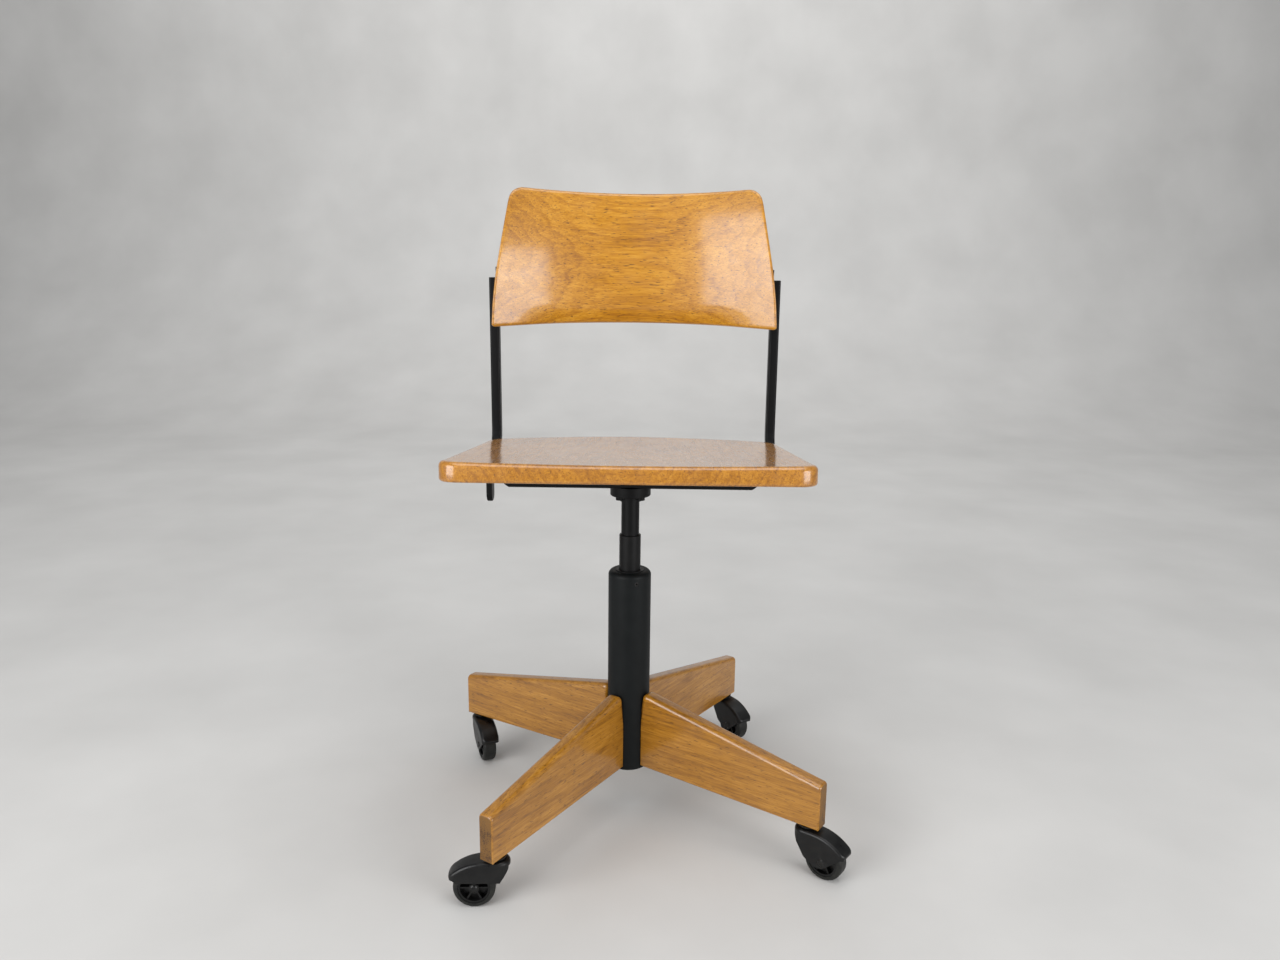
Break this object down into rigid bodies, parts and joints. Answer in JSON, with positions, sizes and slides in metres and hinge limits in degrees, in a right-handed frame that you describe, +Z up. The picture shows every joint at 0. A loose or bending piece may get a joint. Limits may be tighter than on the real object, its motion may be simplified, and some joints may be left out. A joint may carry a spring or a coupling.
{
  "type": "swivel chair",
  "caption": "Height-adjustable swivel chair with wooden seat, moulded wooden back on steel uprights and a wooden star base on castors.",
  "frame": {"origin": "on the floor under the axis of the column", "axes": "+Z up, the sitter faces -Y, +X to the right as seen from the front"},
  "size_m": [0.5553, 0.5236, 0.8913],
  "materials": {
    "lacquered_wood": "oak-like hardwood under warm clear lacquer, worn at the edges",
    "black_enamel": "satin black enamel, chipped in places",
    "black_nylon": "matte moulded",
    "zinc_steel": "zinc plated",
    "castor_steel": "blackened steel",
    "castor_moulding": "semi-gloss black moulding",
    "wheel_tread": "hard rubber, scuffed grey"
  },
  "bodies": {
    "base": {"column_tube": "black_enamel", "neck_bush": "black_nylon", "height_lock_screw": "zinc_steel", "column_foot_cap": "black_enamel", "leg_front_left": "lacquered_wood", "leg_front_right": "lacquered_wood", "leg_rear_left": "lacquered_wood", "leg_rear_right": "lacquered_wood", "leg_hanger_bolts": "zinc_steel", "leg_washers": "zinc_steel", "leg_nuts": "zinc_steel", "castor_socket_front_left": "castor_steel", "castor_socket_front_right": "castor_steel", "castor_socket_rear_left": "castor_steel", "castor_socket_rear_right": "castor_steel"},
    "riser": {"riser_tube": "black_enamel", "riser_guide_ring": "black_nylon", "pivot_plug": "black_nylon", "pivot_ball": "zinc_steel"},
    "seat": {"seat_post": "black_enamel", "post_flange": "black_enamel", "seat_carrier": "black_enamel", "flange_bolts": "black_enamel", "flange_nuts": "zinc_steel", "seat_board": "lacquered_wood", "seat_screws": "zinc_steel", "arm_guide_left": "black_enamel", "arm_guide_right": "black_enamel", "lever_rivet": "zinc_steel"},
    "lever": {"clamp_lever": "black_enamel"},
    "back_frame": {"upright_left": "black_enamel", "upright_right": "black_enamel", "arm_tie": "black_enamel", "arm_end_plugs": "black_nylon", "back_pivot_screws": "zinc_steel"},
    "backrest": {"backrest_board": "lacquered_wood", "back_bracket_left": "black_enamel", "back_bracket_right": "black_enamel", "backrest_screws": "zinc_steel"},
    "castor_front_left": {"castor_stem_front_left": "castor_steel", "castor_hood_front_left": "castor_moulding", "castor_axle_front_left": "castor_steel"},
    "wheel_front_left": {"wheel_hub_front_left": "castor_moulding", "wheel_tyre_front_left": "wheel_tread"},
    "castor_front_right": {"castor_stem_front_right": "castor_steel", "castor_hood_front_right": "castor_moulding", "castor_axle_front_right": "castor_steel"},
    "wheel_front_right": {"wheel_hub_front_right": "castor_moulding", "wheel_tyre_front_right": "wheel_tread"},
    "castor_rear_left": {"castor_stem_rear_left": "castor_steel", "castor_hood_rear_left": "castor_moulding", "castor_axle_rear_left": "castor_steel"},
    "wheel_rear_left": {"wheel_hub_rear_left": "castor_moulding", "wheel_tyre_rear_left": "wheel_tread"},
    "castor_rear_right": {"castor_stem_rear_right": "castor_steel", "castor_hood_rear_right": "castor_moulding", "castor_axle_rear_right": "castor_steel"},
    "wheel_rear_right": {"wheel_hub_rear_right": "castor_moulding", "wheel_tyre_rear_right": "wheel_tread"}
  },
  "joints": [
    {"name": "height_slide", "type": "slide", "parent": "base", "child": "riser", "axis": [0, 0, 1], "range_m": [-0.045, 0.055]},
    {"name": "seat_swivel", "type": "hinge", "parent": "riser", "child": "seat", "pos_m": [0, 0, 0.44], "axis": [0, 0, 1], "continuous": true},
    {"name": "clamp_lever_turn", "type": "hinge", "parent": "seat", "child": "lever", "pos_m": [-0.194, -0.00144, 0.49676], "axis": [1, 0, 0], "range_deg": [-35, 50]},
    {"name": "back_depth_slide", "type": "slide", "parent": "seat", "child": "back_frame", "axis": [0, 0.9962, -0.0872], "range_m": [-0.02, 0.015]},
    {"name": "backrest_tilt", "type": "hinge", "parent": "back_frame", "child": "backrest", "pos_m": [0, 0.2, 0.735], "axis": [1, 0, 0], "range_deg": [-12, 5]},
    {"name": "castor_swivel_front_left", "type": "hinge", "parent": "base", "child": "castor_front_left", "pos_m": [-0.15742, -0.24057, 0.07], "axis": [0, 0, 1], "continuous": true},
    {"name": "wheel_roll_front_left", "type": "hinge", "parent": "castor_front_left", "child": "wheel_front_left", "pos_m": [-0.18541, -0.24155, 0.0265], "axis": [0.0349, -0.9994, 0], "continuous": true},
    {"name": "castor_swivel_front_right", "type": "hinge", "parent": "base", "child": "castor_front_right", "pos_m": [0.24057, -0.15742, 0.07], "axis": [0, 0, 1], "continuous": true},
    {"name": "wheel_roll_front_right", "type": "hinge", "parent": "castor_front_right", "child": "wheel_front_right", "pos_m": [0.26293, -0.17428, 0.0265], "axis": [0.6018, 0.7986, 0], "continuous": true},
    {"name": "castor_swivel_rear_left", "type": "hinge", "parent": "base", "child": "castor_rear_left", "pos_m": [-0.24057, 0.15742, 0.07], "axis": [0, 0, 1], "continuous": true},
    {"name": "wheel_roll_rear_left", "type": "hinge", "parent": "castor_rear_left", "child": "wheel_rear_left", "pos_m": [-0.22963, 0.13165, 0.0265], "axis": [0.9205, 0.3907, 0], "continuous": true},
    {"name": "castor_swivel_rear_right", "type": "hinge", "parent": "base", "child": "castor_rear_right", "pos_m": [0.15742, 0.24057, 0.07], "axis": [0, 0, 1], "continuous": true},
    {"name": "wheel_roll_rear_right", "type": "hinge", "parent": "castor_rear_right", "child": "wheel_rear_right", "pos_m": [0.17349, 0.21763, 0.0265], "axis": [0.8192, 0.5736, 0], "continuous": true}
  ]
}
